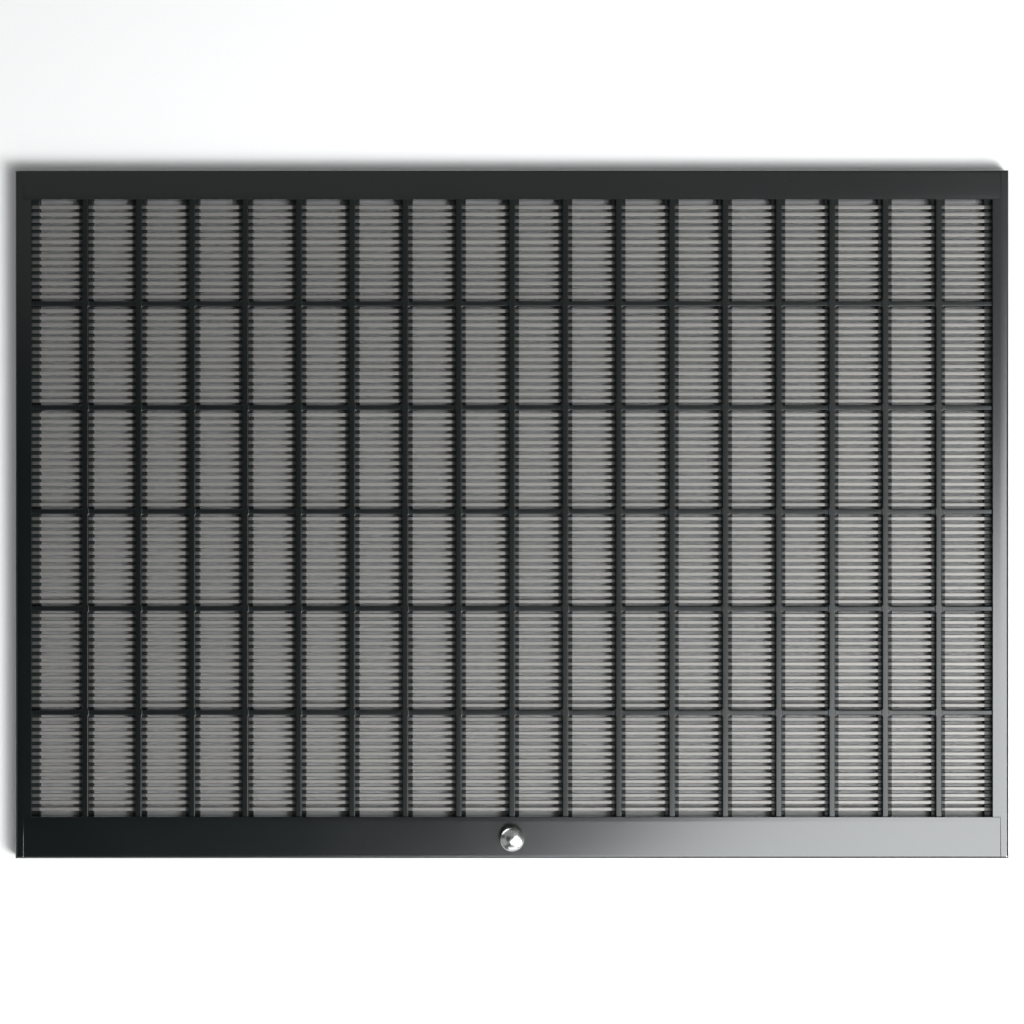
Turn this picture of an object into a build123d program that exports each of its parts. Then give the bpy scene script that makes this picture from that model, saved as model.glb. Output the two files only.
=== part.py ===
"""Queen excluder: a flat black framed grid of bright metal slats, with a small turning knob.

It lies flat, long side along X, knob rail at -Y, underside at Z = 0.
The origin is the centre of the underside. All sizes are in millimetres.
"""
from build123d import *
import math
import os

# Whole panel
LENGTH = 505.0
WIDTH = 350.0
THICKNESS = 9.0

# Rails. The knob rail is the wide one at -Y.
TOP_RAIL = 15.0
KNOB_RAIL = 21.3
SIDE_RIM = 4.4              # flat outer strip of a side rail, full width of the panel
SIDE_SLOPE = 4.0            # inner strip of a side rail, along the window only, with a slight fall
SLOPE_DROP = 0.1
LIP_WIDTH = 2.4             # inner edge of the top and knob rails, with a slight fall
LIP_DROP = 0.06
EDGE_ROUND = 1.5            # outer top edges
FOOT_CHAMFER = 0.5          # outer bottom edges

# Grid
COLUMNS = 18
LINES = 89                  # line spacings across the window
RIB_LINES = (15, 30, 45, 59, 74)
SLAT_WIDTH = 1.9
SLAT_HEIGHT = 2.4
SLAT_BOTTOM = 3.2

# Comb bars run along Y and carry the slats, which a ridge strip holds down.
# Ribs run along X, are halved over the comb bars, and the ridge strips are let into them.
GRID_BOTTOM = 1.0
COMB_WIDTH = 7.2
RIDGE_WIDTH = 3.0
RIDGE_TOP = 8.0
RIDGE_ROUND = 0.4
RIB_WIDTH = 2.4
RIB_TOP = 7.6
RIB_ROUND = 0.4
LAP = 3.0                   # height of the comb bar left under a rib

# Fits
FIT = 0.05                  # all round a slat, a lap or a tenon
BEYOND = 1.0                # how far a cut runs past the face it opens
TENON = 3.0
TENON_Z = (2.0, 5.0)

# Knob and its spindle
KNOB_RADIUS = 6.0
KNOB_HEIGHT = 9.0
KNOB_BASE_RADIUS = 4.2
KNOB_NECK_RADIUS = 3.1
FOOT_HEIGHT = 0.6
WAIST_HEIGHT = 2.4
HEAD_FLARE = 1.2
DOME_HEIGHT = 2.2
SPINDLE_RADIUS = 2.0
SPINDLE_IN_KNOB = 5.5
SPINDLE_CHAMFER = 0.3
RUNNING = 0.06              # radial clearance of the spindle in its bore
PLAY = 0.1                  # end play of the spindle
WASHER_RADIUS = 4.6
WASHER_THICKNESS = 0.6
WASHER_CLEARANCE = 0.25
RECESS_RADIUS = 5.5
RECESS_DEPTH = 3.4
CLIP_RADIUS = 4.0
CLIP_THICKNESS = 0.8
CLIP_MOUTH = 2.8
GROOVE_RADIUS = 1.5
SPINDLE_TIP = 0.5           # the spindle ends this far above the underside

# Worked out from the above
SIDE_RAIL = SIDE_RIM + SIDE_SLOPE
WINDOW_X = LENGTH / 2 - SIDE_RAIL
WINDOW_TOP = WIDTH / 2 - TOP_RAIL
WINDOW_FOOT = -WIDTH / 2 + KNOB_RAIL
LINE_PITCH = (WINDOW_TOP - WINDOW_FOOT) / LINES
COLUMN_PITCH = 2 * WINDOW_X / COLUMNS
SLAT_TOP = SLAT_BOTTOM + SLAT_HEIGHT
COMB_TOP = SLAT_TOP + FIT
RAIL_END = LENGTH / 2 - SIDE_RIM
KNOB_Y = -WIDTH / 2 + KNOB_RAIL / 2

os.makedirs("parts", exist_ok=True)


def line_y(number):
    """Height up the window of a grid line, counted down from the top rail."""
    return WINDOW_TOP - number * LINE_PITCH


def bar_x(number):
    """Place of a comb bar, counted from the left side rail."""
    return -WINDOW_X + number * COLUMN_PITCH


def block(x, y, z):
    """A box from three (low, high) pairs."""
    size = [high - low for low, high in (x, y, z)]
    middle = [(high + low) / 2 for low, high in (x, y, z)]
    return Pos(*middle) * Box(*size)


def around(middle, width, fit=0.0):
    """The (low, high) pair of a width centred on a place, with a fit added to each side."""
    return middle - width / 2 - fit, middle + width / 2 + fit


def save(shape, node):
    shape.label = node
    export_step(shape, f"parts/{node}.step")


BAR_PLACES = [bar_x(number) for number in range(1, COLUMNS)]
RIB_PLACES = [line_y(line) for line in RIB_LINES]
MORTISE_Z = (TENON_Z[0] - FIT, TENON_Z[1] + FIT)


def toothed_block(x):
    """A comb as long as the window, with a notch for each slat and a deeper one for each rib."""
    outline = [(WINDOW_FOOT, GRID_BOTTOM), (WINDOW_TOP, GRID_BOTTOM), (WINDOW_TOP, COMB_TOP)]
    for line in range(1, LINES):
        width, floor = (RIB_WIDTH, LAP) if line in RIB_LINES else (SLAT_WIDTH, SLAT_BOTTOM - FIT)
        low, high = around(line_y(line), width, FIT)
        outline += [(high, COMB_TOP), (high, floor), (low, floor), (low, COMB_TOP)]
    outline.append((WINDOW_FOOT, COMB_TOP))
    side = Plane.YZ * make_face(Polyline(*outline, close=True))
    return Pos(x[0], 0, 0) * extrude(side, amount=x[1] - x[0])


def side_rail():
    """The right-hand side rail: rim, inner slope and toothed shoulder, as long as the panel is wide."""
    inner = WINDOW_X
    rail = block((inner, LENGTH / 2), (-WIDTH / 2, WIDTH / 2), (0, THICKNESS))
    top = rail.faces().sort_by(Axis.Z)[-1].edges()
    outer_top = [edge for edge in top if edge.center().X > inner + BEYOND]
    rail = fillet(outer_top, EDGE_ROUND)
    foot = rail.faces().sort_by(Axis.Z)[0].edges()
    outer_foot = [edge for edge in foot if edge.center().X > inner + BEYOND]
    rail = chamfer(outer_foot, FOOT_CHAMFER)
    slope = Polyline(
        (inner, THICKNESS - SLOPE_DROP),
        (inner + SIDE_SLOPE, THICKNESS),
        (inner, THICKNESS),
        close=True,
    )
    rail -= extrude(Plane.XZ * make_face(slope), amount=WIDTH, both=True)
    cuts = [
        block((inner - BEYOND, RAIL_END), (WINDOW_TOP, WIDTH), (-BEYOND, THICKNESS + BEYOND)),
        block((inner - BEYOND, RAIL_END), (-WIDTH, WINDOW_FOOT), (-BEYOND, THICKNESS + BEYOND)),
    ]
    mortise_x = (RAIL_END - BEYOND, RAIL_END + TENON)
    cuts += [block(mortise_x, around(y, width, FIT), MORTISE_Z) for y, width in rail_tenons()]
    rib_end_x = (inner - BEYOND, inner + TENON + FIT)
    cuts += [block(rib_end_x, around(y, RIB_WIDTH, FIT), MORTISE_Z) for y in RIB_PLACES]
    return rail - cuts + toothed_block((inner - COMB_WIDTH / 2, inner))


def rail_tenons():
    """Centre and width, along Y, of the tenon on the ends of the top rail and of the knob rail."""
    return [
        (WIDTH / 2 - TOP_RAIL / 2, TOP_RAIL / 2),
        (KNOB_Y, KNOB_RAIL / 2),
    ]


def cross_rail(outer, inner, tenon):
    """A rail along X. Its outer top edge is rounded and its inner top edge falls slightly."""
    low, high = sorted((outer, inner))
    towards = 1 if inner > outer else -1
    rail = block((-RAIL_END, RAIL_END), (low, high), (0, THICKNESS))
    top = rail.faces().sort_by(Axis.Z)[-1].edges().filter_by(Axis.X)
    rail = fillet([edge for edge in top if abs(edge.center().Y - outer) < BEYOND], EDGE_ROUND)
    foot = rail.faces().sort_by(Axis.Z)[0].edges().filter_by(Axis.X)
    rail = chamfer([edge for edge in foot if abs(edge.center().Y - outer) < BEYOND], FOOT_CHAMFER)
    lip = Polyline(
        (inner, THICKNESS - LIP_DROP),
        (inner - towards * LIP_WIDTH, THICKNESS),
        (inner, THICKNESS),
        close=True,
    )
    rail -= extrude(Plane.YZ * make_face(lip), amount=LENGTH, both=True)
    y, width = tenon
    reach = RAIL_END + TENON - FIT
    rail += block((-reach, reach), around(y, width), TENON_Z)
    depth = sorted((inner + towards * BEYOND, inner - towards * (TENON + FIT)))
    return rail - [block(around(x, COMB_WIDTH, FIT), depth, MORTISE_Z) for x in BAR_PLACES]


def knob_rail():
    """The wide rail, with the spindle's bore and a recess beneath for its clip."""
    rail = cross_rail(-WIDTH / 2, WINDOW_FOOT, rail_tenons()[1])
    bore = Pos(0, KNOB_Y, THICKNESS / 2) * Cylinder(SPINDLE_RADIUS + RUNNING, THICKNESS + 2 * BEYOND)
    recess = Pos(0, KNOB_Y, (RECESS_DEPTH - BEYOND) / 2) * Cylinder(RECESS_RADIUS, RECESS_DEPTH + BEYOND)
    return rail - bore - recess


def comb_bar():
    """The toothed bar at X = 0 that the slats lie in, with a tenon at each end."""
    x = around(0, COMB_WIDTH)
    upper = block(x, (WINDOW_TOP, WINDOW_TOP + TENON), TENON_Z)
    lower = block(x, (WINDOW_FOOT - TENON, WINDOW_FOOT), TENON_Z)
    return toothed_block(x) + upper + lower


def ridge_strip():
    """The strip at X = 0 that lies on a comb bar's teeth, over the slats."""
    strip = block(around(0, RIDGE_WIDTH), (WINDOW_FOOT, WINDOW_TOP), (COMB_TOP, RIDGE_TOP))
    return fillet(strip.faces().sort_by(Axis.Z)[-1].edges().filter_by(Axis.Y), RIDGE_ROUND)


def cross_rib():
    """The rib at Y = 0, slotted from below for the comb bars and from above for the ridge strips."""
    rib = block((-WINDOW_X, WINDOW_X), around(0, RIB_WIDTH), (GRID_BOTTOM, RIB_TOP))
    rib = fillet(rib.faces().sort_by(Axis.Z)[-1].edges().filter_by(Axis.X), RIB_ROUND)
    rib += block((-WINDOW_X - TENON, WINDOW_X + TENON), around(0, RIB_WIDTH), TENON_Z)
    across = (-RIB_WIDTH, RIB_WIDTH)
    combs = BAR_PLACES + [-WINDOW_X, WINDOW_X]
    lower = [block(around(x, COMB_WIDTH, FIT), across, (0, LAP + FIT)) for x in combs]
    upper = [block(around(x, RIDGE_WIDTH, FIT), across, (COMB_TOP - FIT, THICKNESS)) for x in BAR_PLACES]
    return rib - lower - upper


def slat_row(lines):
    """The slats of one row of windows, each its own solid, from side rail to side rail."""
    x = (-WINDOW_X + FIT, WINDOW_X - FIT)
    slats = [block(x, around(line_y(line), SLAT_WIDTH), (SLAT_BOTTOM, SLAT_TOP)) for line in lines]
    return Compound(children=slats)


def turned(points):
    """A round piece about the knob's axis, from points of (radius, height)."""
    return Pos(0, KNOB_Y, 0) * revolve(Plane.XZ * make_face(Polyline(*points, close=True)), Axis.Z)


KNOB_FOOT = THICKNESS + WASHER_THICKNESS + PLAY
KNOB_TOP = THICKNESS + KNOB_HEIGHT


def knob():
    """Small round pull: a foot, a waist and a domed head, drilled from below for the spindle."""
    waist = KNOB_FOOT + FOOT_HEIGHT
    head = waist + WAIST_HEIGHT
    neck = (KNOB_NECK_RADIUS, waist + WAIST_HEIGHT / 2)
    rim = KNOB_TOP - DOME_HEIGHT
    dome_radius = (KNOB_RADIUS**2 + DOME_HEIGHT**2) / (2 * DOME_HEIGHT)
    half_angle = math.asin(KNOB_RADIUS / dome_radius) / 2
    dome_middle = (
        dome_radius * math.sin(half_angle),
        KNOB_TOP - dome_radius * (1 - math.cos(half_angle)),
    )
    outline = [
        Line((0, KNOB_FOOT), (KNOB_BASE_RADIUS, KNOB_FOOT)),
        Line((KNOB_BASE_RADIUS, KNOB_FOOT), (KNOB_BASE_RADIUS, waist)),
        ThreePointArc((KNOB_BASE_RADIUS, waist), neck, (KNOB_BASE_RADIUS, head)),
        Line((KNOB_BASE_RADIUS, head), (KNOB_RADIUS, head + HEAD_FLARE)),
        Line((KNOB_RADIUS, head + HEAD_FLARE), (KNOB_RADIUS, rim)),
        ThreePointArc((KNOB_RADIUS, rim), dome_middle, (0, KNOB_TOP)),
        Line((0, KNOB_TOP), (0, KNOB_FOOT)),
    ]
    body = Pos(0, KNOB_Y, 0) * revolve(Plane.XZ * make_face(outline), Axis.Z)
    socket_top = KNOB_FOOT + SPINDLE_IN_KNOB
    return body - turned([(0, 0), (SPINDLE_RADIUS, 0), (SPINDLE_RADIUS, socket_top), (0, socket_top)])


CLIP_LOW = RECESS_DEPTH - WASHER_THICKNESS - PLAY - CLIP_THICKNESS


def spindle():
    """Plain spindle fixed in the knob, with a groove for the clip below the rail."""
    top = KNOB_FOOT + SPINDLE_IN_KNOB
    clip_high = CLIP_LOW + CLIP_THICKNESS
    return turned(
        [
            (0, SPINDLE_TIP),
            (SPINDLE_RADIUS - SPINDLE_CHAMFER, SPINDLE_TIP),
            (SPINDLE_RADIUS, SPINDLE_TIP + SPINDLE_CHAMFER),
            (SPINDLE_RADIUS, CLIP_LOW),
            (GROOVE_RADIUS, CLIP_LOW),
            (GROOVE_RADIUS, clip_high),
            (SPINDLE_RADIUS, clip_high),
            (SPINDLE_RADIUS, top),
            (0, top),
        ]
    )


def ring(inner, outer, low, thickness):
    """A flat ring about the knob's axis."""
    high = low + thickness
    return turned([(inner, low), (outer, low), (outer, high), (inner, high)])


def spindle_clip():
    """Open spring clip that sits in the spindle's groove."""
    mouth = block(around(0, CLIP_MOUTH), (KNOB_Y - 2 * CLIP_RADIUS, KNOB_Y), (0, RECESS_DEPTH))
    return ring(GROOVE_RADIUS, CLIP_RADIUS, CLIP_LOW, CLIP_THICKNESS) - mouth


right_rail = side_rail()
save(right_rail, "right_side_rail")
save(mirror(right_rail, Plane.YZ), "left_side_rail")
save(cross_rail(WIDTH / 2, WINDOW_TOP, rail_tenons()[0]), "top_rail")
save(knob_rail(), "knob_rail")

bar = comb_bar()
strip = ridge_strip()
for number, x in enumerate(BAR_PLACES, start=1):
    save(Pos(x, 0, 0) * bar, f"comb_bar_{number:02d}")
    save(Pos(x, 0, 0) * strip, f"ridge_strip_{number:02d}")

rib = cross_rib()
for number, y in enumerate(RIB_PLACES, start=1):
    save(Pos(0, y, 0) * rib, f"cross_rib_{number}")

row_ends = (0,) + RIB_LINES + (LINES,)
for number, (above, below) in enumerate(zip(row_ends, row_ends[1:]), start=1):
    save(slat_row(range(above + 1, below)), f"slat_row_{number}")

save(knob(), "knob")
save(spindle(), "knob_spindle")
save(spindle_clip(), "spindle_clip")
washer_bore = SPINDLE_RADIUS + WASHER_CLEARANCE
save(ring(washer_bore, WASHER_RADIUS, THICKNESS, WASHER_THICKNESS), "knob_washer")
save(ring(washer_bore, WASHER_RADIUS, RECESS_DEPTH - WASHER_THICKNESS, WASHER_THICKNESS), "clip_washer")
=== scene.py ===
"""Looks of the queen excluder: black moulded frame and combs, bright drawn slats, polished knob."""
import math

import bmesh
import bpy
import numpy as np
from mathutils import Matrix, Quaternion, Vector


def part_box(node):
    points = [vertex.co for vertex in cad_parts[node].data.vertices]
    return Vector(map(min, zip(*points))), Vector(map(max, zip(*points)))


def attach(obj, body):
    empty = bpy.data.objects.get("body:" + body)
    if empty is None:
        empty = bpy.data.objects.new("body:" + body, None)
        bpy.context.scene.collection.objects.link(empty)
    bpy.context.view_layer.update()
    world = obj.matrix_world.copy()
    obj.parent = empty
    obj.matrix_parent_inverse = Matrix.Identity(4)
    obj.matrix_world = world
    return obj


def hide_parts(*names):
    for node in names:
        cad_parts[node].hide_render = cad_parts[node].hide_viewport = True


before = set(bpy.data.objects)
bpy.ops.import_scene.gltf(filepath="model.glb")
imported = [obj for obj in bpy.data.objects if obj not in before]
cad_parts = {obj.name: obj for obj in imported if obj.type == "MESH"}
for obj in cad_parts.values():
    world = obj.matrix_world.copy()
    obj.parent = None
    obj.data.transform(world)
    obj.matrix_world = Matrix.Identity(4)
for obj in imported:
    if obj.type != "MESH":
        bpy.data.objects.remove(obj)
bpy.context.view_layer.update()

MM = 0.001

# Sizes that the frame's boxes don't give

# Slats, and the notches that hold them
LINES = 89                       # line spacings across the window
RIB_LINES = (15, 30, 45, 59, 74)
BARS = 17
SLAT_FIT = 0.05 * MM             # room round a slat, and round each halved joint
SLAT_FOOT_ROUND = 0.15 * MM
SLAT_TOP_ROUND = 0.35 * MM
SLAT_SAG = 0.03 * MM             # how low a slat may lie in its notches
SLAT_LEAN = 0.02                 # radians: the usual lean of a slat, one way or the other
COMB_FLOOR_UNDER_RIB = 3.0 * MM

# Rails
SIDE_RIM = 4.4 * MM              # width of a side rail's flat rim
SLOPE_DROP = 0.1 * MM            # how far a side rail's inner slope falls
SLOPE_FOLD = 0.5 * MM            # half the width of the soft fold from rim to slope
SHOULDER_LAP = 0.3 * MM          # how far the teeth on a side rail's shoulder run into the rail
LIP_WIDTH = 2.4 * MM             # the sloping inner lip of the top rail and the knob rail
LIP_DROP = 0.06 * MM
LIP_FOLD = 0.35 * MM
EDGE_ROUND = 1.5 * MM            # outer top edges
FOOT_CHAMFER = 0.5 * MM          # outer foot edges

# Ribs and ridge strips, which flow into each other by fillets
RIB_FILLET = 0.75 * MM           # how far a rib swells where a ridge strip crosses it
RIB_FILLET_REACH = 0.7 * MM
RIB_FILLET_PLACES = np.array([2.6, 2.2, 1.9, 1.7]) * MM    # stations, from a bar's middle
RIB_LAP = 0.3 * MM               # how far a rib keeps its height in under a strip's edge
STRIP_FILLET = 0.45 * MM         # how far a strip swells where a rib crosses it, and its reach
STRIP_FILLET_END = 2.2 * MM      # the furthest station, from a rib's middle

# Knob, and the hollows for its spindle
KNOB_BASE_RADIUS = 4.2 * MM
KNOB_NECK_RADIUS = 3.1 * MM
FOOT_HEIGHT = 0.6 * MM
FOOT_ROUND = 0.2 * MM
WAIST_HEIGHT = 2.4 * MM
HEAD_FLARE = 1.2 * MM
DOME_HEIGHT = 2.2 * MM
RIM_LOWER_CORNER = np.array([[-0.3, -0.16], [-0.1, -0.05], [0, 0.1], [0, 0.3]]) * MM
RIM_UPPER_CORNER = np.array([[0, -0.3], [-0.06, 0], [-0.18, 0.12]]) * MM
DOME_INSET = 0.35 * MM           # from the knob's side in to the edge of its dome
SPINDLE_RADIUS = 2.0 * MM
SOCKET_DEPTH = 5.5 * MM
RUNNING = 0.06 * MM              # radial room round the spindle in the knob rail
RECESS_RADIUS = 5.5 * MM
RECESS_DEPTH = 3.4 * MM
PAST_FACE = 1 * MM               # how far a cutter runs past the face that it opens

# Edges and seams
SOFT_EDGE = 0.25 * MM            # small rounding of a moulded edge
TOP_ROUND = 0.4 * MM             # top edges of ribs and ridge strips
BUTT_EDGE = 0.1 * MM             # rounding where one rail butts against another
SEAM = 0.03 * MM                 # how far a part stops short of its neighbour

# Points on a round
EDGE_POINTS = 7                  # a rail's outer edge
CORNER_POINTS = 5                # a top corner of a rib, strip or slat
FILLET_POINTS = 15               # a strip's swelling at a rib
WAIST_POINTS = 15
DOME_POINTS = 18
BORE_SEGMENTS = 48
RECESS_SEGMENTS = 64
KNOB_SEGMENTS = 96

# Points nearer than this are merged
SAME_POINT = 0.0005 * MM
CUT_POINT = 0.005 * MM           # after a cut, which leaves close points where edges cross


# ---------------------------------------------------------------- places, from the frame

def middle_x(node):
    """The x of the middle of a node's box."""
    low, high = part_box(node)
    return (low.x + high.x) / 2


rail_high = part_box("right_side_rail")[1]
comb_low, comb_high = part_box("comb_bar_09")
strip_low, strip_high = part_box("ridge_strip_09")
rib_low, rib_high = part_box("cross_rib_1")
slat_low, slat_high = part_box("slat_row_1")
knob_low, knob_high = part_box("knob")

HALF_LENGTH = rail_high.x
HALF_WIDTH = rail_high.y
RAIL_TOP = rail_high.z
WINDOW_X = slat_high.x + SLAT_FIT
WINDOW_TOP = strip_high.y
WINDOW_FOOT = strip_low.y
RAIL_END = HALF_LENGTH - SIDE_RIM
LINE_PITCH = (WINDOW_TOP - WINDOW_FOOT) / LINES
COMB_WIDTH = comb_high.x - comb_low.x
STRIP_WIDTH = strip_high.x - strip_low.x
RIB_WIDTH = rib_high.y - rib_low.y
GRID_BOTTOM = comb_low.z
COMB_TOP = comb_high.z
SLAT_BOTTOM = slat_low.z
SLAT_TOP = slat_high.z
SLAT_WIDTH = 2 * (slat_high.y - (WINDOW_TOP - LINE_PITCH))
BAR_PLACES = np.array([middle_x(f"comb_bar_{number:02d}") for number in range(1, BARS + 1)])
COLUMN_PITCH = BAR_PLACES[1] - BAR_PLACES[0]
RIB_PLACES = WINDOW_TOP - np.array(RIB_LINES) * LINE_PITCH
KNOB_X = middle_x("knob")
KNOB_Y = (knob_low.y + knob_high.y) / 2


# ---------------------------------------------------------------- meshes from arrays

def outward(points, faces):
    """True where the faces point out: six times the signed volume, summed over fans of triangles."""
    total = 0.0
    for face in faces:
        corners = points[face]
        total += np.einsum("ij,ij->i", corners[:, 0], np.cross(corners[:, 1], corners[:, 2])).sum()
        if face.shape[1] == 4:
            total += np.einsum("ij,ij->i", corners[:, 0], np.cross(corners[:, 2], corners[:, 3])).sum()
    return total > 0


def loft(rings):
    """A closed tube through rings of points, (station, point, xyz), its ends closed by fans about
    their middles. Returns points, quads and triangles that face outwards."""
    stations, around = rings.shape[:2]
    points = rings.reshape(-1, 3)
    station = np.arange(stations - 1)[:, None] * around
    ring = np.arange(around)[None, :]
    after = (ring + 1) % around
    quads = np.stack(
        [station + ring, station + after, station + around + after, station + around + ring], -1
    ).reshape(-1, 4)
    ends = np.stack([rings[0].mean(0), rings[-1].mean(0)])
    first_middle = len(points)
    last = (stations - 1) * around
    ring, after = ring[0], after[0]
    triangles = np.concatenate([
        np.stack([np.full(around, first_middle), after, ring], -1),
        np.stack([np.full(around, first_middle + 1), last + ring, last + after], -1),
    ])
    points = np.concatenate([points, ends])
    if not outward(points, (quads, triangles)):
        quads, triangles = quads[:, ::-1], triangles[:, ::-1]
    return points, quads, triangles


def tube(x, y, z):
    """A closed tube whose rings come from arrays of x, y and z, one row for each station, that are
    stretched to one shape."""
    return loft(np.stack(np.broadcast_arrays(x, y, z), -1))


def lathe(outline, segments):
    """A round closed shape: an outline of (radius, height) turned about the knob's axis. Each point
    goes to radius times the cosine and sine of the turn. The outline starts and ends on the axis,
    where the loft's fans close it."""
    turn = np.linspace(0, 2 * math.pi, segments, endpoint=False)
    radius, height = outline[:, :1], outline[:, 1:]
    return tube(KNOB_X + radius * np.cos(turn), KNOB_Y + radius * np.sin(turn), height)


def merge_points(mesh, reach):
    """Merges points nearer than a reach, and removes the faces that this leaves with no area."""
    clean = bmesh.new()
    clean.from_mesh(mesh)
    bmesh.ops.remove_doubles(clean, verts=clean.verts, dist=reach)
    bmesh.ops.dissolve_degenerate(clean, edges=clean.edges, dist=reach)
    clean.to_mesh(mesh)
    clean.free()
    return mesh


def shell_mesh(name, shells, kinds):
    """A mesh of closed shells. Each has a material number of its own, as far as there are kinds of
    material. Stations that share a place become one."""
    points, faces, numbers, start = [], [], [], 0
    for number, (shell_points, quads, triangles) in enumerate(shells):
        points.append(shell_points)
        faces += (quads + start).tolist() + (triangles + start).tolist()
        numbers += [min(number, kinds - 1)] * (len(quads) + len(triangles))
        start += len(shell_points)
    mesh = bpy.data.meshes.new(name)
    mesh.from_pydata(np.concatenate(points).tolist(), [], faces)
    mesh.polygons.foreach_set("material_index", numbers)
    return merge_points(mesh, SAME_POINT)


def cut(mesh, cutter_mesh):
    """The first mesh less the second, as a mesh of its own."""
    block = bpy.data.objects.new("block", mesh)
    cutter = bpy.data.objects.new("cutter", cutter_mesh)
    for helper in (block, cutter):
        bpy.context.scene.collection.objects.link(helper)
    boolean = block.modifiers.new("cut", "BOOLEAN")
    boolean.operation = "DIFFERENCE"
    boolean.solver = "EXACT"
    boolean.object = cutter
    evaluated = block.evaluated_get(bpy.context.evaluated_depsgraph_get())
    result = bpy.data.meshes.new_from_object(evaluated)
    for helper in (block, cutter):
        bpy.data.objects.remove(helper)
    return merge_points(result, CUT_POINT)


def make_piece(name, shells, materials, slot, body, *nodes, sharp=40, cutters=()):
    """One object from closed shells, less the shapes of its cutters. The materials are one for all
    shells, or a list with one for each. The piece stands for the named CAD nodes and rides on a body.
    It is shaded smooth but for corners sharper than the given angle, and its normals follow its broad
    faces, so that a flat looks flat up to its rounded edge."""
    if not isinstance(materials, list):
        materials = [materials]
    mesh = shell_mesh(name, shells, len(materials))
    for cutter in cutters:
        mesh = cut(mesh, shell_mesh("cutter", [cutter], 1))
    mesh.name = name
    for material in materials:
        mesh.materials.append(material)
    mesh.shade_smooth()
    mesh.set_sharp_from_angle(angle=math.radians(sharp))
    piece = bpy.data.objects.new(name, mesh)
    bpy.context.scene.collection.objects.link(piece)
    normals = piece.modifiers.new("broad faces", "WEIGHTED_NORMAL")
    normals.mode = "FACE_AREA"
    normals.keep_sharp = True
    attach(piece, body)
    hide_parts(*nodes)
    return piece


# ---------------------------------------------------------------- outlines

def quarter(centre_x, centre_z, radius, start):
    """Points of a quarter round, from an angle in degrees, turning clockwise."""
    turn = np.radians(np.linspace(start, start - 90, CORNER_POINTS))
    return np.stack([centre_x + radius * np.cos(turn), centre_z + radius * np.sin(turn)], -1)


def bar_outline(half, low, high, top_round, soft=SOFT_EDGE):
    """Cross-section of a bar, going over the top: straight sides, small rounding at the foot and a
    quarter round at each top corner."""
    return np.concatenate([
        [[-half + soft, low], [-half, low + soft]],
        quarter(-half + top_round, high - top_round, top_round, 180),
        quarter(half - top_round, high - top_round, top_round, 90),
        [[half, low + soft], [half - soft, low]],
    ])


def round_over():
    """How far a rail's outer edge has come in, and how far it still is below the top, on the way up
    its rounding: one less the cosine and one less the sine of the turn, times the radius."""
    turn = np.radians(np.linspace(0, 90, EDGE_POINTS))
    return EDGE_ROUND * (1 - np.cos(turn)), EDGE_ROUND * (1 - np.sin(turn))


def outer_outline(outer, away):
    """The outer side of a rail, from its foot to its top. Away is the sign of its outward way."""
    come_in, below = round_over()
    foot = [[outer - away * FOOT_CHAMFER, 0], [outer, FOOT_CHAMFER]]
    return np.concatenate([foot, np.stack([outer - away * come_in, RAIL_TOP - below], -1)])


def fillet(places, crossings, half, swell, reach):
    """How far a bar swells sideways at places along it. Where another crosses it, that is the whole
    swell, and from the other's side on it fades as a bell curve: exp of minus (distance / reach)
    squared."""
    nearest = np.abs(places[:, None] - crossings).min(1)
    return swell * np.exp(-((np.maximum(nearest - half, 0) / reach) ** 2))


def pin_outline(radius, low, high):
    """A plain pin or hole."""
    return np.array([[0, low], [radius, low], [radius, high], [0, high]])


def knob_outline():
    """Radius and height up the knob: a foot, a waist that is an arc, a straight flare, a straight rim
    with rounded corners, and a dome that is a cap of a sphere."""
    foot, top = knob_low.z, knob_high.z
    radius = (knob_high.x - knob_low.x) / 2
    base, neck = KNOB_BASE_RADIUS, KNOB_NECK_RADIUS
    waist_foot = foot + FOOT_HEIGHT
    flare_foot = waist_foot + WAIST_HEIGHT
    rim_low, rim_high = flare_foot + HEAD_FLARE, top - DOME_HEIGHT

    along = np.linspace(-1, 1, WAIST_POINTS)
    bow = ((WAIST_HEIGHT / 2) ** 2 + (base - neck) ** 2) / (2 * (base - neck))
    waist_radius = neck + bow - np.sqrt(bow**2 - (along * WAIST_HEIGHT / 2) ** 2)
    waist_height = waist_foot + WAIST_HEIGHT * (1 + along) / 2

    lower_corner = [radius, rim_low] + RIM_LOWER_CORNER
    upper_corner = [radius, rim_high] + RIM_UPPER_CORNER
    flare_start = np.array([base, flare_foot])
    rise = np.array([0.25, 0.5, 0.75])[:, None]

    sphere = (radius**2 + DOME_HEIGHT**2) / (2 * DOME_HEIGHT)
    dome_radius = (radius - DOME_INSET) * np.cos(np.radians(np.linspace(0, 90, DOME_POINTS)))
    dome_height = top - sphere + np.sqrt(sphere**2 - dome_radius**2)
    return np.concatenate([
        [[0, foot], [base - FOOT_ROUND, foot], [base, foot + FOOT_ROUND]],
        np.stack([waist_radius, waist_height], -1),
        flare_start + rise * (lower_corner[0] - flare_start),
        lower_corner,
        upper_corner,
        np.stack([dome_radius, dome_height], -1),
    ])


# ---------------------------------------------------------------- shapes

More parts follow.
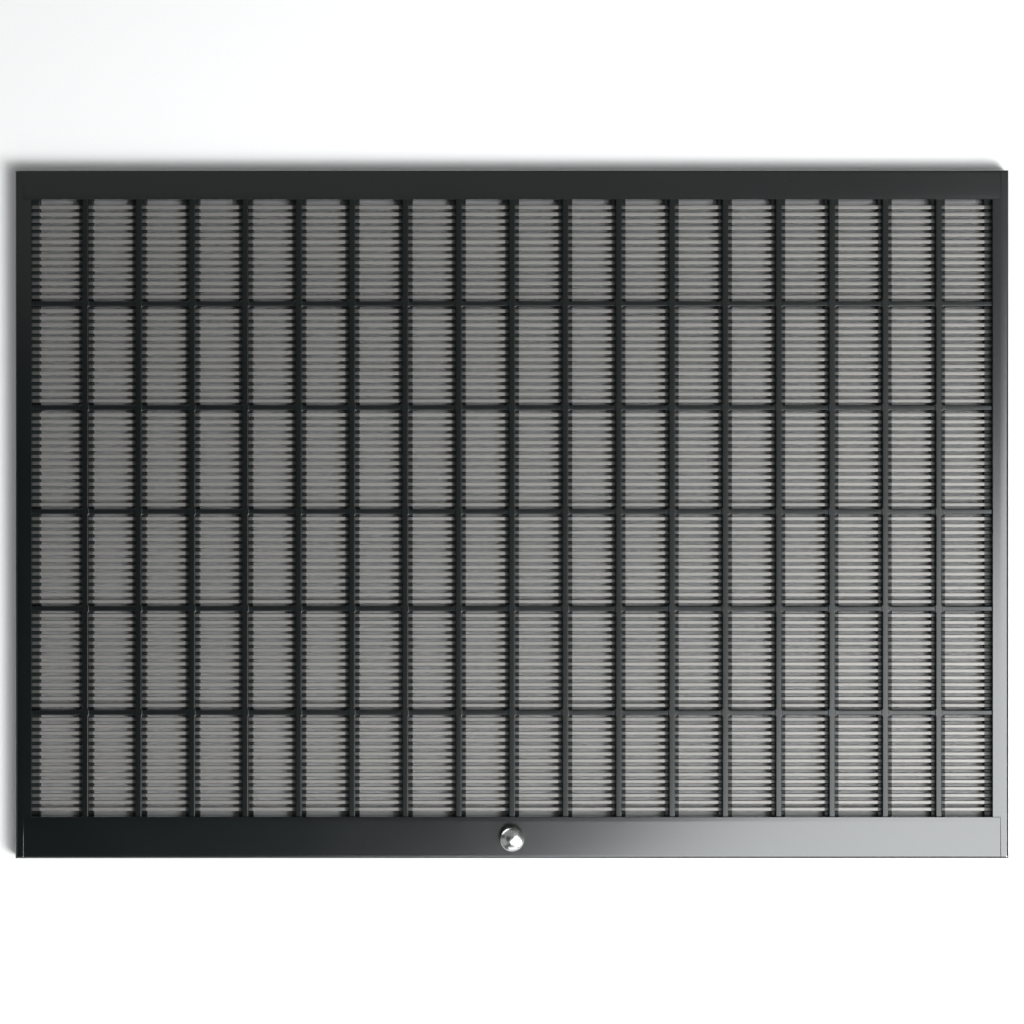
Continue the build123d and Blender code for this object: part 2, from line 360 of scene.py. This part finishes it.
def comb_stations():
    """Places down the window and the comb's height at each: the top of a tooth, with its rounded
    corners, or the floor of a notch, deeper under a rib."""
    line = np.arange(1, LINES)
    under_rib = np.isin(line, RIB_LINES)
    middle = WINDOW_TOP - line * LINE_PITCH
    half = np.where(under_rib, RIB_WIDTH, SLAT_WIDTH) / 2 + SLAT_FIT
    floor = np.where(under_rib, COMB_FLOOR_UNDER_RIB, SLAT_BOTTOM - SLAT_FIT)
    side = np.array([1, 1, 1, -1, -1, -1])
    beyond = SOFT_EDGE * np.array([1, 0, 0, 0, 0, -1])
    places = middle[:, None] + half[:, None] * side + beyond
    tooth, corner = np.full(len(line), COMB_TOP), np.full(len(line), COMB_TOP - SOFT_EDGE)
    heights = np.stack([tooth, corner, floor, floor, corner, tooth], -1)
    return (np.concatenate([[WINDOW_TOP - SEAM], places.ravel(), [WINDOW_FOOT + SEAM]]),
            np.concatenate([[COMB_TOP], heights.ravel(), [COMB_TOP]]))


def comb(x_low, x_high):
    """A toothed bar along Y. Its cross-section is a box with rounded top corners, carried down the
    window with its top following the teeth and notches."""
    places, heights = comb_stations()
    soft = SOFT_EDGE
    left, right = np.array([soft, 0, 0, soft]) + x_low, x_high - np.array([soft, 0, 0, soft])
    drop = np.array([0, 0, soft, 0, 0, soft, 0, 0])
    foot = np.array([GRID_BOTTOM, GRID_BOTTOM + soft, 0, 0, 0, 0, GRID_BOTTOM + soft, GRID_BOTTOM])
    return tube(
        np.concatenate([left, right]),
        places[:, None],
        np.where(foot > 0, foot, heights[:, None] - drop),
    )


def ridge_strip(x):
    """A strip along Y with a rounded top, which swells sideways near each rib."""
    spread = np.linspace(-STRIP_FILLET_END, STRIP_FILLET_END, FILLET_POINTS)
    crossing = (RIB_PLACES[:, None] - spread).ravel()
    places = np.concatenate([[WINDOW_TOP - SEAM], crossing, [WINDOW_FOOT + SEAM]])
    swell = fillet(places, RIB_PLACES, RIB_WIDTH / 2, STRIP_FILLET, STRIP_FILLET)[:, None]
    across, up = bar_outline(STRIP_WIDTH / 2, COMB_TOP, strip_high.z, TOP_ROUND).T
    return tube(x + across + np.sign(across) * swell, places[:, None], up)


def cross_rib(y):
    """A rib along X with a rounded top, whose upper half swells towards the ridge strips. It clears
    each comb bar from below and each ridge strip from above. It runs from rail to rail."""
    comb_half = COMB_WIDTH / 2 + SLAT_FIT
    strip_half = STRIP_WIDTH / 2 - RIB_LAP
    under = COMB_FLOOR_UNDER_RIB + SLAT_FIT
    let_in = COMB_TOP - SLAT_FIT
    side = np.array([comb_half, comb_half, *RIB_FILLET_PLACES, strip_half, strip_half])
    side_low = np.array([GRID_BOTTOM] + [under] * (len(side) - 1))
    side_high = np.array([rib_high.z] * (len(side) - 1) + [let_in])
    offsets = np.concatenate([-side, side[::-1]])
    wall = WINDOW_X - SEAM
    shoulder = WINDOW_X - comb_half
    places = np.concatenate([
        [-wall, -shoulder, -shoulder],
        (BAR_PLACES[:, None] + offsets).ravel(),
        [shoulder, shoulder, wall],
    ])
    low = np.concatenate([
        [under, under, GRID_BOTTOM],
        np.tile(np.concatenate([side_low, side_low[::-1]]), BARS),
        [GRID_BOTTOM, under, under],
    ])
    high = np.concatenate([
        [rib_high.z] * 3,
        np.tile(np.concatenate([side_high, side_high[::-1]]), BARS),
        [rib_high.z] * 3,
    ])
    swell = fillet(places, BAR_PLACES, STRIP_WIDTH / 2, RIB_FILLET, RIB_FILLET_REACH)[:, None]
    height = rib_high.z - GRID_BOTTOM
    across, up = bar_outline(RIB_WIDTH / 2, 0, height, TOP_ROUND).T
    is_top = up > height / 2
    return tube(
        places[:, None],
        y + across + np.sign(across) * swell * is_top,
        np.where(is_top, high[:, None] - (height - up), low[:, None] + up),
    )


def slat(y, lift, lean):
    """A drawn strip along X with rounded top edges. It lifts and leans by a hair's breadth."""
    middle = (SLAT_BOTTOM + SLAT_TOP) / 2
    outline = bar_outline(SLAT_WIDTH / 2, SLAT_BOTTOM, SLAT_TOP, SLAT_TOP_ROUND, SLAT_FOOT_ROUND)
    across, up = outline[:, 0], outline[:, 1] - middle
    return tube(
        np.array([[-WINDOW_X + SLAT_FIT], [WINDOW_X - SLAT_FIT]]),
        y + across * math.cos(lean) - up * math.sin(lean),
        middle + across * math.sin(lean) + up * math.cos(lean) + lift,
    )


def side_rail(side):
    """A side rail along Y. The cross-section goes from the inner foot round the outer side, over the
    rounded edge and flat rim, and down the inner slope. Beyond the window it keeps the rim only. Its
    ends drop along a quarter circle, and their foot is chamfered."""
    lead, _ = round_over()
    upper = np.concatenate([HALF_WIDTH - lead, [WINDOW_TOP, WINDOW_TOP]])
    lower = np.concatenate([[WINDOW_FOOT, WINDOW_FOOT], -HALF_WIDTH + lead[::-1]])
    places = np.concatenate([upper, lower])
    beside_window = np.zeros(len(places), bool)
    beside_window[len(upper) - 1] = beside_window[len(upper)] = True
    rim = np.concatenate([[[RAIL_END, 0]], outer_outline(HALF_LENGTH, 1)])
    slope = SLOPE_DROP / (RAIL_END - WINDOW_X)
    inner_slope = np.array([
        [RAIL_END + SLOPE_FOLD, RAIL_TOP],
        [RAIL_END - SLOPE_FOLD, RAIL_TOP - SLOPE_FOLD * slope],
        [WINDOW_X + SOFT_EDGE, RAIL_TOP - SLOPE_DROP],
        [WINDOW_X, RAIL_TOP - SLOPE_DROP - SOFT_EDGE],
        [WINDOW_X, 0],
    ])
    butt = RAIL_END + SEAM
    butt_side = np.array([
        [RAIL_END + SLOPE_FOLD, RAIL_TOP],
        [butt + BUTT_EDGE, RAIL_TOP],
        [butt, RAIL_TOP - BUTT_EDGE],
        [butt, RAIL_TOP - 2 * BUTT_EDGE],
        [butt, 0],
    ])
    outline = np.where(beside_window[:, None, None],
                       np.concatenate([rim, inner_slope]),
                       np.concatenate([rim, butt_side]))
    distance = HALF_WIDTH - np.abs(places[:, None])
    inside = np.clip(EDGE_ROUND - distance, 0, EDGE_ROUND)
    ceiling = RAIL_TOP - (EDGE_ROUND - np.sqrt(EDGE_ROUND**2 - inside**2))
    floor = np.clip(FOOT_CHAMFER - distance, 0, None)
    rail = tube(side * outline[..., 0], places[:, None], np.clip(outline[..., 1], floor, ceiling))
    teeth = comb(*sorted((side * (WINDOW_X - COMB_WIDTH / 2), side * (WINDOW_X + SHOULDER_LAP))))
    return [rail, teeth]


def cross_rail(outer, inner):
    """A rail along X. The cross-section goes from the inner foot under and round the outer side, over
    the rounded edge and the flat, and down the sloping lip. Its ends have a small rounding."""
    away = 1 if outer > inner else -1
    slope = LIP_DROP / LIP_WIDTH
    across, up = np.concatenate([
        [[inner, 0]],
        outer_outline(outer, away),
        [
            [inner + away * (LIP_WIDTH + LIP_FOLD), RAIL_TOP],
            [inner + away * (LIP_WIDTH - LIP_FOLD), RAIL_TOP - LIP_FOLD * slope],
            [inner + away * SOFT_EDGE, RAIL_TOP - LIP_DROP],
            [inner, RAIL_TOP - LIP_DROP - SOFT_EDGE],
        ],
    ]).T
    end = RAIL_END - SEAM
    lead = BUTT_EDGE * np.array([0, 0.3, 1])
    places = np.concatenate([-end + lead, end - lead[::-1]])
    drop = np.concatenate([lead[::-1], lead])
    return tube(places[:, None], across, np.minimum(up, RAIL_TOP - drop[:, None]))


# ---------------------------------------------------------------- shader maths

class Signal:
    """A shader socket that can stand in a Python expression. Each operator adds its Math node."""

    def __init__(self, recipe, socket):
        self.recipe, self.socket = recipe, socket

    def _math(self, operation, first, second):
        return self.recipe.node("ShaderNodeMath", {"operation": operation}, {0: first, 1: second})

    def __add__(self, other):
        return self._math("ADD", self, other)

    def __radd__(self, other):
        return self._math("ADD", other, self)

    def __sub__(self, other):
        return self._math("SUBTRACT", self, other)

    def __rsub__(self, other):
        return self._math("SUBTRACT", other, self)

    def __mul__(self, other):
        return self._math("MULTIPLY", self, other)

    def __rmul__(self, other):
        return self._math("MULTIPLY", other, self)

    def __truediv__(self, other):
        return self._math("DIVIDE", self, other)

    def clamp(self):
        return self._math("MINIMUM", self._math("MAXIMUM", self, 0.0), 1.0)


class Recipe:
    """A material in the making, with one method for any node and one for its shader."""

    def __init__(self, name):
        self.material = bpy.data.materials.new(name)
        self.material.use_nodes = True
        self.tree = self.material.node_tree
        self.tree.nodes.clear()
        self.place = self.node("ShaderNodeTexCoord", out="Object")

    def node(self, kind, settings=None, values=None, out=0):
        """Adds a node: its settings first, then its sockets' values or links. Returns the wanted
        output as a Signal."""
        node = self.tree.nodes.new(kind)
        for key, value in (settings or {}).items():
            setattr(node, key, value)
        for key, value in (values or {}).items():
            if isinstance(value, Signal):
                self.tree.links.new(value.socket, node.inputs[key])
            else:
                node.inputs[key].default_value = value
        return Signal(self, node.outputs[out])

    def noise(self, scale, detail=3.0, roughness=0.5, stretch=(1, 1, 1)):
        """Smooth noise about 0.5, in object space, stretched along an axis where its factor is
        small."""
        place = self.node("ShaderNodeMapping", None, {"Vector": self.place, "Scale": stretch})
        values = {"Vector": place, "Scale": scale, "Detail": detail, "Roughness": roughness}
        return self.node("ShaderNodeTexNoise", None, values, "Fac")

    def bar_shade_mask(self):
        """1 within a comb's width of each bar, which recur along X at the column pitch, and 0
        between. Pingpong gives the distance to the nearest bar, in columns. It marks where the slats
        get painted shade."""
        x = self.node("ShaderNodeSeparateXYZ", None, {0: self.place}, "X")
        columns = (x + WINDOW_X) / COLUMN_PITCH
        away = self.node("ShaderNodeMath", {"operation": "PINGPONG"}, {0: columns, 1: 0.5})
        half = COMB_WIDTH / 2 / COLUMN_PITCH
        return 1 - self.step(away, half - 0.01, half + 0.006)

    def between(self, amount, low, high):
        """A colour that goes from low to high. The Mix node's sockets 6 and 7 and its output 2 are
        its colours."""
        return self.node("ShaderNodeMix", {"data_type": "RGBA"}, {0: amount, 6: low, 7: high}, 2)

    def step(self, signal, low, high):
        """0 below low, 1 above high, and smooth between."""
        return self.node("ShaderNodeMapRange", {"interpolation_type": "SMOOTHSTEP"},
                         {"Value": signal, "From Min": low, "From Max": high}, "Result")

    def bump(self, height, strength, distance):
        return self.node("ShaderNodeBump", None,
                         {"Height": height, "Strength": strength, "Distance": distance}, "Normal")

    def finish(self, **sockets):
        """The shader and the output. Sockets are named with an underscore for each space."""
        values = {key.replace("_", " "): value for key, value in sockets.items()}
        shader = self.node("ShaderNodeBsdfPrincipled", None, values, "BSDF")
        output = self.tree.nodes.new("ShaderNodeOutputMaterial")
        self.tree.links.new(shader.socket, output.inputs["Surface"])
        return self.material


def colour(red, green, blue, tone=1.0):
    """An opaque colour, darkened by a tone below 1."""
    return (red * tone, green * tone, blue * tone, 1.0)


# ---------------------------------------------------------------- materials

def black_moulding(name, roughness, grain, gloss=1.0):
    """Glossy black moulded plastic: fine even grain, faint flow clouds, a little dust and scuffing."""
    recipe = Recipe(name)
    clouds = recipe.noise(14, 4, 0.6)
    fine = recipe.noise(2600, 2, 0.5)
    dust = recipe.step(recipe.noise(900, 3, 0.7), 0.66, 0.82)
    scuffs = recipe.step(recipe.noise(40, 3, 0.6, (1, 4, 1)), 0.6, 0.8)
    base = recipe.between(clouds, colour(0.0016, 0.0028, 0.0028), colour(0.0032, 0.0048, 0.0048))
    base = recipe.between(dust * 0.15, base, colour(0.07, 0.07, 0.066))
    return recipe.finish(
        Base_Color=base,
        Roughness=(roughness - 0.03 + 0.05 * clouds + 0.015 * scuffs + 0.1 * dust).clamp(),
        Specular_IOR_Level=gloss,
        Coat_Weight=0.6 * gloss,
        Coat_Roughness=0.15,
        Normal=recipe.bump(fine, grain, 0.02 * MM),
    )


def drawn_metal(name, tone, roughness, with_painted_bar_shade=False):
    """Satin drawn strip: hair-fine grain along its length, tone that differs from strip to strip. If
    asked,
    it carries painted shade: within a comb's width of each bar it goes nearly black and loses its
    metal, standing in for the shade that falls on it there."""
    recipe = Recipe(name)
    strips = recipe.noise(170, 2, 0.5, (0.02, 1, 0.02))
    grain = recipe.noise(5200, 3, 0.6, (0.012, 1, 1))
    clouds = recipe.noise(26, 3, 0.5, (1, 0.6, 1))
    marks = recipe.step(recipe.noise(420, 4, 0.7, (0.25, 1, 1)), 0.6, 0.74)
    # painted shade: near black, less metallic slats within a comb's width of each bar, for the shade
    # there
    painted_bar_shade = recipe.bar_shade_mask() * 0.86 if with_painted_bar_shade else 0.0
    base = recipe.between(clouds, colour(0.98, 0.95, 0.90, tone), colour(0.86, 0.83, 0.79, tone))
    streaks = (0.55 * strips + 0.35 * grain).clamp()
    base = recipe.between(streaks, base, colour(0.95, 0.93, 0.9, tone * 0.7))
    base = recipe.between(marks * 0.12, base, colour(0.9, 0.88, 0.84, tone * 0.5))
    return recipe.finish(
        Base_Color=recipe.between(painted_bar_shade, base, colour(0.012, 0.014, 0.014)),
        Metallic=0.55 - 0.55 * painted_bar_shade,
        Roughness=(roughness - 0.06 + 0.14 * grain + 0.1 * marks).clamp(),
        Normal=recipe.bump(grain, 0.25, 0.01 * MM),
    )


def polished_plate(name):
    """Polished plating with faint turning lines, the sine of the distance from the knob's axis, and a
    few fine wipe marks."""
    recipe = Recipe(name)
    centred = recipe.node("ShaderNodeVectorMath", {"operation": "SUBTRACT"},
                          {0: recipe.place, 1: (KNOB_X, KNOB_Y, 0)}, "Vector")
    radius = recipe.node("ShaderNodeVectorMath", {"operation": "LENGTH"}, {0: centred}, "Value")
    lines = recipe.node("ShaderNodeMath", {"operation": "SINE"}, {0: radius * 26000})
    wipe = recipe.noise(700, 4, 0.65, (1, 0.2, 1))
    return recipe.finish(
        Base_Color=recipe.between(wipe, colour(0.80, 0.80, 0.79), colour(0.90, 0.90, 0.89)),
        Metallic=1.0,
        Roughness=(0.23 + 0.06 * recipe.step(wipe, 0.45, 0.75)).clamp(),
        Normal=recipe.bump(lines, 0.06, 0.01 * MM),
    )


def nylon(name):
    """Dull black nylon with a fine speckle."""
    recipe = Recipe(name)
    speckle = recipe.noise(1800, 3, 0.6)
    return recipe.finish(
        Base_Color=recipe.between(speckle, colour(0.012, 0.012, 0.012), colour(0.035, 0.035, 0.034)),
        Roughness=(0.45 + 0.2 * speckle).clamp(),
        Normal=recipe.bump(speckle, 0.3, 0.03 * MM),
    )


def pale_floor(name):
    """Matt white card."""
    recipe = Recipe(name)
    tooth = recipe.noise(900, 2, 0.5)
    return recipe.finish(
        Base_Color=recipe.between(tooth, colour(0.73, 0.73, 0.73), colour(0.76, 0.76, 0.76)),
        Roughness=0.9,
        Specular_IOR_Level=0.0,
    )


rail_black = black_moulding("gloss black rail", 0.22, 0.1)
comb_black = black_moulding("dull black comb", 0.55, 0.3, gloss=0.2)
ridge_black = black_moulding("gloss black ridge", 0.3, 0.15, gloss=0.45)
# the slats carry painted shade where they pass through the combs
slat_metal = drawn_metal("drawn slat metal", 0.26, 0.46, with_painted_bar_shade=True)
steel = drawn_metal("turned steel", 0.5, 0.3)
plating = polished_plate("polished plating")
nylon_black = nylon("black nylon")


# ---------------------------------------------------------------- the pieces

for side, word in ((-1, "left"), (1, "right")):
    make_piece(f"rail_{word}", side_rail(side), [rail_black, comb_black], "black_rail", "frame",
               f"{word}_side_rail")
make_piece("rail_top", [cross_rail(HALF_WIDTH, WINDOW_TOP)], rail_black, "black_rail", "frame",
           "top_rail")
bore = lathe(pin_outline(SPINDLE_RADIUS + RUNNING, -PAST_FACE, RAIL_TOP + PAST_FACE), BORE_SEGMENTS)
recess = lathe(pin_outline(RECESS_RADIUS, -PAST_FACE, RECESS_DEPTH), RECESS_SEGMENTS)
make_piece("rail_knob", [cross_rail(-HALF_WIDTH, WINDOW_FOOT)], rail_black, "black_rail", "frame",
           "knob_rail", cutters=(bore, recess))

for number, x in enumerate(BAR_PLACES, start=1):
    make_piece(f"comb_{number:02d}", [comb(x - COMB_WIDTH / 2, x + COMB_WIDTH / 2)], comb_black,
               "black_comb", "frame", f"comb_bar_{number:02d}")
    make_piece(f"ridge_{number:02d}", [ridge_strip(x)], ridge_black, "black_ridge", "frame",
               f"ridge_strip_{number:02d}")
for number, y in enumerate(RIB_PLACES, start=1):
    make_piece(f"rib_{number}", [cross_rib(y)], ridge_black, "black_ridge", "frame",
               f"cross_rib_{number}")

rng = np.random.default_rng(4)
row_ends = (0,) + RIB_LINES + (LINES,)
for number, (above, below) in enumerate(zip(row_ends, row_ends[1:]), start=1):
    slats = [
        slat(WINDOW_TOP - line * LINE_PITCH, rng.uniform(-SLAT_SAG, 0.0), rng.normal(0, SLAT_LEAN))
        for line in range(above + 1, below)
    ]
    make_piece(f"slats_{number}", slats, slat_metal, "bright_slat", "frame", f"slat_row_{number}")

socket = lathe(pin_outline(SPINDLE_RADIUS, knob_low.z - PAST_FACE, knob_low.z + SOCKET_DEPTH),
               BORE_SEGMENTS)
make_piece("pull_knob", [lathe(knob_outline(), KNOB_SEGMENTS)], plating, "polished_knob", "knob",
           "knob", sharp=60, cutters=(socket,))

for node, material in (("knob_spindle", steel), ("spindle_clip", steel),
                       ("knob_washer", nylon_black), ("clip_washer", nylon_black)):
    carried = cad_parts[node].data.materials
    carried.clear()
    carried.append(material)


# ---------------------------------------------------------------- floor, light and camera

FLOOR_HALF = 4.0
FLOOR_GAP = 0.2 * MM
CAMERA_HEIGHT = 1.3
CAMERA_Y = 1.15 * MM
VIEW_MARGIN = 1.03               # the view's width over the panel's
SENSOR = 36.0
BOX_X, BOX_Y = 0.498, -0.462     # a soft box beside the camera, which the rails mirror


def floor():
    """A flat square just under the object."""
    signs = ((-1, -1), (1, -1), (1, 1), (-1, 1))
    corners = [(x * FLOOR_HALF, y * FLOOR_HALF, -FLOOR_GAP) for x, y in signs]
    mesh = bpy.data.meshes.new("floor")
    mesh.from_pydata(corners, [], [(0, 1, 2, 3)])
    mesh.materials.append(pale_floor("pale floor"))
    plane = bpy.data.objects.new("floor", mesh)
    bpy.context.scene.collection.objects.link(plane)


def panel_light(name, place, aim, size, radiance, turn=0.0, tint=(1, 1, 1)):
    """A flat rectangular light that faces a point, of a given brightness over its whole face."""
    light = bpy.data.lights.new(name, "AREA")
    light.shape = "RECTANGLE"
    light.size, light.size_y = size
    light.energy = radiance * math.pi * size[0] * size[1]
    light.color = tint
    lamp = bpy.data.objects.new(name, light)
    bpy.context.scene.collection.objects.link(lamp)
    direction = Vector(aim) - Vector(place)
    lamp.location = place
    lamp.rotation_mode = "QUATERNION"
    lamp.rotation_quaternion = direction.to_track_quat("-Z", "Y") @ Quaternion((0, 0, 1), turn)


def camera():
    """A camera straight above, whose frame is a little wider than the panel."""
    data = bpy.data.cameras.new("camera")
    data.sensor_width = SENSOR
    data.lens = SENSOR * (CAMERA_HEIGHT - RAIL_TOP) / (2 * HALF_LENGTH * VIEW_MARGIN)
    view = bpy.data.objects.new("camera", data)
    view.location = (0, CAMERA_Y, CAMERA_HEIGHT)
    bpy.context.scene.collection.objects.link(view)
    bpy.context.scene.camera = view


def surroundings(horizon, overhead):
    """A plain grey room, brighter towards the horizon than overhead. Its strength follows the upward
    part of the direction."""
    world = bpy.data.worlds.new("room")
    world.use_nodes = True
    nodes, links = world.node_tree.nodes, world.node_tree.links
    place = nodes.new("ShaderNodeTexCoord")
    split = nodes.new("ShaderNodeSeparateXYZ")
    ramp = nodes.new("ShaderNodeMapRange")
    limits = {"From Min": 0.15, "From Max": 0.93, "To Min": horizon, "To Max": overhead}
    for key, value in limits.items():
        ramp.inputs[key].default_value = value
    links.new(place.outputs["Generated"], split.inputs[0])
    links.new(split.outputs["Z"], ramp.inputs["Value"])
    links.new(ramp.outputs["Result"], nodes["Background"].inputs["Strength"])
    bpy.context.scene.world = world


floor()
surroundings(horizon=1.1, overhead=0.04)
panel_light("mirrored box", (BOX_X, BOX_Y, CAMERA_HEIGHT), aim=(BOX_X, BOX_Y, 0), size=(0.7, 1.4),
            radiance=5.4, turn=math.radians(-44.2), tint=(0.96, 0.985, 1.0))
panel_light("key", (1.30, -1.05, 1.45), aim=(0, 0, 0), size=(1.0, 1.0), radiance=23.5)
panel_light("top card", (0, 0.95, CAMERA_HEIGHT), aim=(0, 0.95, 0), size=(3.0, 1.5), radiance=0.2)
panel_light("back fill", (-1.9, 2.0, 0.7), aim=(-0.3, 0.3, 0), size=(2.4, 1.2), radiance=2.4)
panel_light("left card", (-1.3, -0.7, 0.95), aim=(0, 0, 0), size=(1.3, 1.3), radiance=0.3)
panel_light("front fill", (0.2, -2.3, 1.0), aim=(0, 0, 0), size=(2.0, 1.0), radiance=1.2)
camera()
bpy.context.scene.view_settings.view_transform = "Standard"
